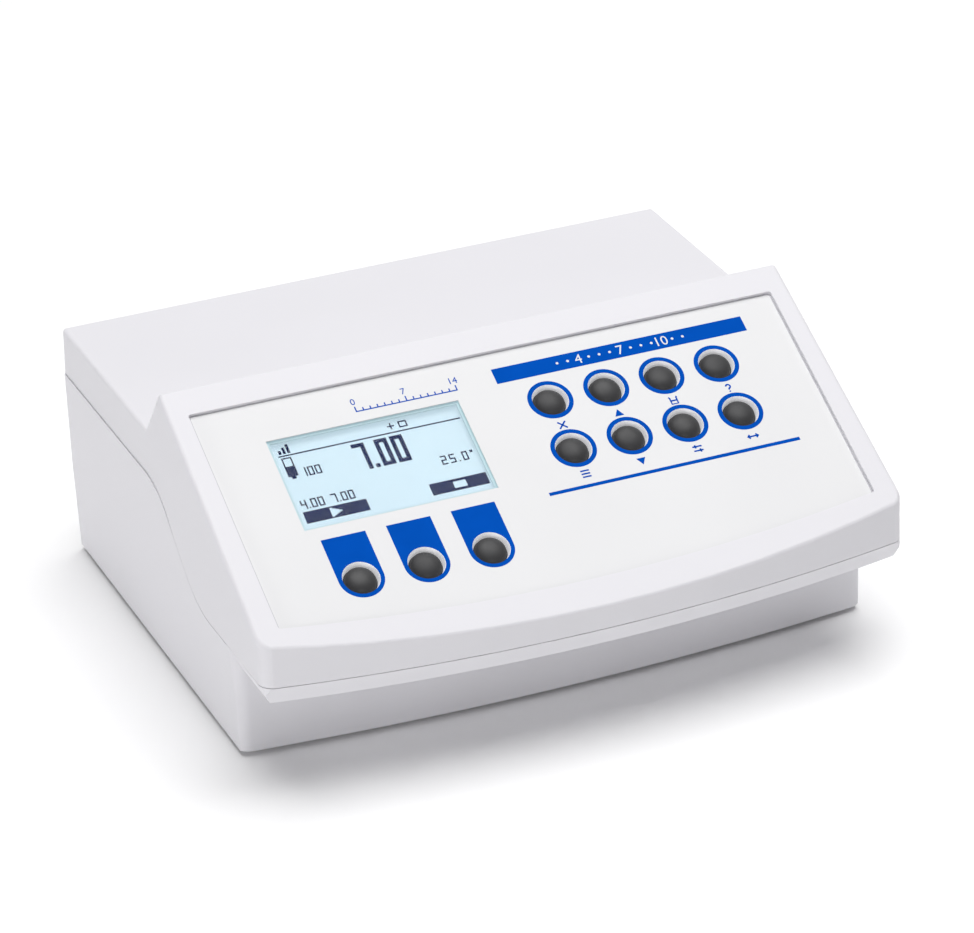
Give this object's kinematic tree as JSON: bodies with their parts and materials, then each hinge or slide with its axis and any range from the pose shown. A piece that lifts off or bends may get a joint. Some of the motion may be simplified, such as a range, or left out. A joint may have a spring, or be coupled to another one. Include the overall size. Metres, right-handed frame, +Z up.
{
  "type": "ph meter",
  "caption": "Bench pH meter with a sloping key panel, a graphic display, round rubber keys, a stepped two-shell housing and a row of rear sockets.",
  "frame": {"origin": "on the surface it stands on, under the middle of its width and depth", "axes": "+Z up, the key panel faces -Y, +X to the right of someone facing the panel"},
  "size_m": [0.2364, 0.2232, 0.1085],
  "materials": {
    "tub_plastic": "moulded ABS, fine texture",
    "cover_plastic": "moulded ABS, fine texture",
    "overlay_film": "printed polyester film, satin",
    "window_plate": "clear acrylic",
    "display_glass": "liquid crystal glass",
    "light_guide": "milky acrylic",
    "black_steel": "black oxide sheet",
    "circuit_board": "glass-epoxy board, green resist",
    "silicone": "moulded silicone, matt",
    "carbon": "conductive silicone",
    "black_plastic": "moulded, satin",
    "tinned_steel": "bright tin plate",
    "nickel": "nickel plate",
    "gold_plate": "gold-plated brass",
    "white_insulator": "fluoropolymer and nylon",
    "ribbon": "grey flat cable",
    "foot_rubber": "black rubber",
    "screw_steel": "zinc plate"
  },
  "bodies": {
    "housing": {"base_tub": "tub_plastic", "top_cover": "cover_plastic", "panel_overlay": "overlay_film", "display_window": "window_plate", "lcd_bezel": "black_steel", "lcd_glass": "display_glass", "lcd_backlight": "light_guide", "lcd_board": "circuit_board", "keypad_mat": "silicone", "keypad_board": "circuit_board", "main_board": "circuit_board", "main_chips": "black_plastic", "shield_can": "tinned_steel", "cell_holder": "black_plastic", "coin_cell": "tinned_steel", "buzzer": "black_plastic", "ribbon_cable": "ribbon", "ribbon_headers": "black_plastic", "electrode_socket": "nickel", "electrode_insulator": "white_insulator", "electrode_contact": "gold_plate", "electrode_nut": "nickel", "reference_socket": "black_plastic", "reference_contact": "gold_plate", "temperature_socket": "nickel", "temperature_insulator": "white_insulator", "computer_socket": "tinned_steel", "computer_tongue": "white_insulator", "power_socket": "black_plastic", "power_pin": "nickel", "rocker_body": "black_plastic", "rubber_feet": "foot_rubber", "case_screws": "screw_steel", "lcd_screws": "screw_steel", "board_screws": "screw_steel"},
    "key_escape": {"key_escape": "silicone", "pill_escape": "carbon"},
    "key_up": {"key_up": "silicone", "pill_up": "carbon"},
    "key_calibrate": {"key_calibrate": "silicone", "pill_calibrate": "carbon"},
    "key_help": {"key_help": "silicone", "pill_help": "carbon"},
    "key_menu": {"key_menu": "silicone", "pill_menu": "carbon"},
    "key_down": {"key_down": "silicone", "pill_down": "carbon"},
    "key_setup": {"key_setup": "silicone", "pill_setup": "carbon"},
    "key_range": {"key_range": "silicone", "pill_range": "carbon"},
    "soft_key_left": {"soft_key_left": "silicone", "pill_soft_left": "carbon"},
    "soft_key_middle": {"soft_key_middle": "silicone", "pill_soft_middle": "carbon"},
    "soft_key_right": {"soft_key_right": "silicone", "pill_soft_right": "carbon"},
    "power_rocker": {"power_rocker": "black_plastic"}
  },
  "joints": [
    {"name": "key_escape_press", "type": "slide", "parent": "housing", "child": "key_escape", "axis": [0, 0.4741, -0.8805], "range_m": [0, 0.0012], "stiffness_N_per_m": 900},
    {"name": "key_up_press", "type": "slide", "parent": "housing", "child": "key_up", "axis": [0, 0.4741, -0.8805], "range_m": [0, 0.0012], "stiffness_N_per_m": 900},
    {"name": "key_calibrate_press", "type": "slide", "parent": "housing", "child": "key_calibrate", "axis": [0, 0.4741, -0.8805], "range_m": [0, 0.0012], "stiffness_N_per_m": 900},
    {"name": "key_help_press", "type": "slide", "parent": "housing", "child": "key_help", "axis": [0, 0.4741, -0.8805], "range_m": [0, 0.0012], "stiffness_N_per_m": 900},
    {"name": "key_menu_press", "type": "slide", "parent": "housing", "child": "key_menu", "axis": [0, 0.4741, -0.8805], "range_m": [0, 0.0012], "stiffness_N_per_m": 900},
    {"name": "key_down_press", "type": "slide", "parent": "housing", "child": "key_down", "axis": [0, 0.4741, -0.8805], "range_m": [0, 0.0012], "stiffness_N_per_m": 900},
    {"name": "key_setup_press", "type": "slide", "parent": "housing", "child": "key_setup", "axis": [0, 0.4741, -0.8805], "range_m": [0, 0.0012], "stiffness_N_per_m": 900},
    {"name": "key_range_press", "type": "slide", "parent": "housing", "child": "key_range", "axis": [0, 0.4741, -0.8805], "range_m": [0, 0.0012], "stiffness_N_per_m": 900},
    {"name": "soft_key_left_press", "type": "slide", "parent": "housing", "child": "soft_key_left", "axis": [0, 0.4741, -0.8805], "range_m": [0, 0.0012], "stiffness_N_per_m": 900},
    {"name": "soft_key_middle_press", "type": "slide", "parent": "housing", "child": "soft_key_middle", "axis": [0, 0.4741, -0.8805], "range_m": [0, 0.0012], "stiffness_N_per_m": 900},
    {"name": "soft_key_right_press", "type": "slide", "parent": "housing", "child": "soft_key_right", "axis": [0, 0.4741, -0.8805], "range_m": [0, 0.0012], "stiffness_N_per_m": 900},
    {"name": "power_rocker_tip", "type": "hinge", "parent": "housing", "child": "power_rocker", "pos_m": [0.0792, 0.09895, 0.0231], "axis": [-1, 0, 0], "range_deg": [0, 18]}
  ]
}
